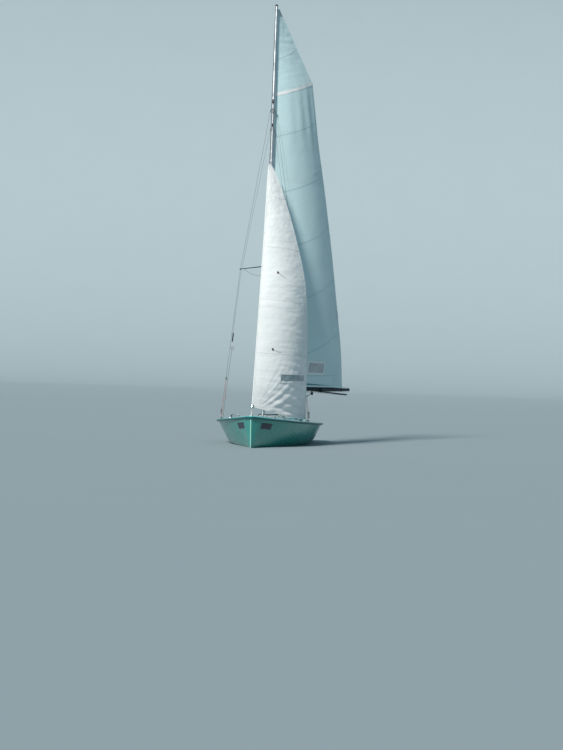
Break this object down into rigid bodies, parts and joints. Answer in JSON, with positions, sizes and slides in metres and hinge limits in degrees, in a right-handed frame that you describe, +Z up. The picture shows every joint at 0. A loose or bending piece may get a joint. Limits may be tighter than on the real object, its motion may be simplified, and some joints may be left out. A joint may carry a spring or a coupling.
{
  "type": "sailing dinghy",
  "caption": "Two-handed sloop-rigged sailing dinghy afloat with mainsail and jib set, swinging boom, lifting centreboard, and a rudder with lifting blade, tiller and extension.",
  "frame": {"origin": "on the waterline plane, on the centreline, amidships", "axes": "+X to port, +Y aft, +Z up"},
  "size_m": [2.1389, 5.2009, 8.345],
  "materials": {
    "hull_gelcoat": "glossy gelcoat",
    "deck_gelcoat": "satin gelcoat",
    "strake": "satin extrusion",
    "navy_plate": "satin film",
    "alloy": "anodised",
    "stainless": "polished",
    "black_fitting": "satin",
    "white_fitting": "satin",
    "sailcloth": "woven polyester",
    "webbing": "woven",
    "foil": "gloss"
  },
  "bodies": {
    "root": {"hull_shell": "hull_gelcoat", "deck_moulding": "deck_gelcoat", "transom": "deck_gelcoat", "transom_flaps": "white_fitting", "inspection_covers": "white_fitting", "gunwale_strakes": "strake", "bow_plate_port": "navy_plate", "bow_plate_starboard": "navy_plate", "centreboard_case": "deck_gelcoat", "centreboard_pin": "stainless", "thwart": "deck_gelcoat", "mainsheet_base": "black_fitting", "toe_straps": "webbing", "mast": "alloy", "mast_step": "alloy", "mast_collar": "black_fitting", "masthead": "black_fitting", "spreader_bracket": "alloy", "spreaders": "alloy", "hounds_fitting": "stainless", "chainplates": "stainless", "shroud_port": "stainless", "shroud_starboard": "stainless", "stem_fitting": "stainless", "forestay": "stainless", "gooseneck": "stainless", "jib": "sailcloth", "jib_fairleads": "black_fitting", "rudder_gudgeons": "stainless"},
    "boom": {"boom": "alloy", "boom_gooseneck": "black_fitting", "boom_end": "black_fitting", "boom_blocks": "black_fitting", "spinnaker_pole": "alloy", "pole_ends": "black_fitting", "pole_brackets": "black_fitting", "mainsail": "sailcloth"},
    "centreboard": {"centreboard": "foil"},
    "rudder": {"rudder_stock": "alloy", "rudder_pintles": "stainless", "blade_pin": "stainless", "tiller": "alloy", "tiller_swivel": "black_fitting"},
    "rudder_blade": {"rudder_blade": "foil"},
    "tiller_extension": {"extension_joint": "black_fitting", "tiller_extension": "alloy"}
  },
  "joints": [
    {"name": "boom_swing", "type": "hinge", "parent": "root", "child": "boom", "pos_m": [0, -0.72383, 0.94876], "axis": [0, 0.0232, 0.9997], "range_deg": [-32, 96]},
    {"name": "centreboard_lift", "type": "hinge", "parent": "root", "child": "centreboard", "pos_m": [0, -0.43, -0.035], "axis": [1, 0, 0], "range_deg": [0, 88]},
    {"name": "rudder_turn", "type": "hinge", "parent": "root", "child": "rudder", "pos_m": [0, 2.461, 0.17], "axis": [0, 0, 1], "range_deg": [-70, 70]},
    {"name": "rudder_blade_lift", "type": "hinge", "parent": "rudder", "child": "rudder_blade", "pos_m": [0, 2.571, 0.15], "axis": [1, 0, 0], "range_deg": [0, 85]},
    {"name": "extension_swing", "type": "hinge", "parent": "rudder", "child": "tiller_extension", "pos_m": [0, 1.536, 0.473], "axis": [0, 0, 1], "range_deg": [-108, 132]}
  ]
}
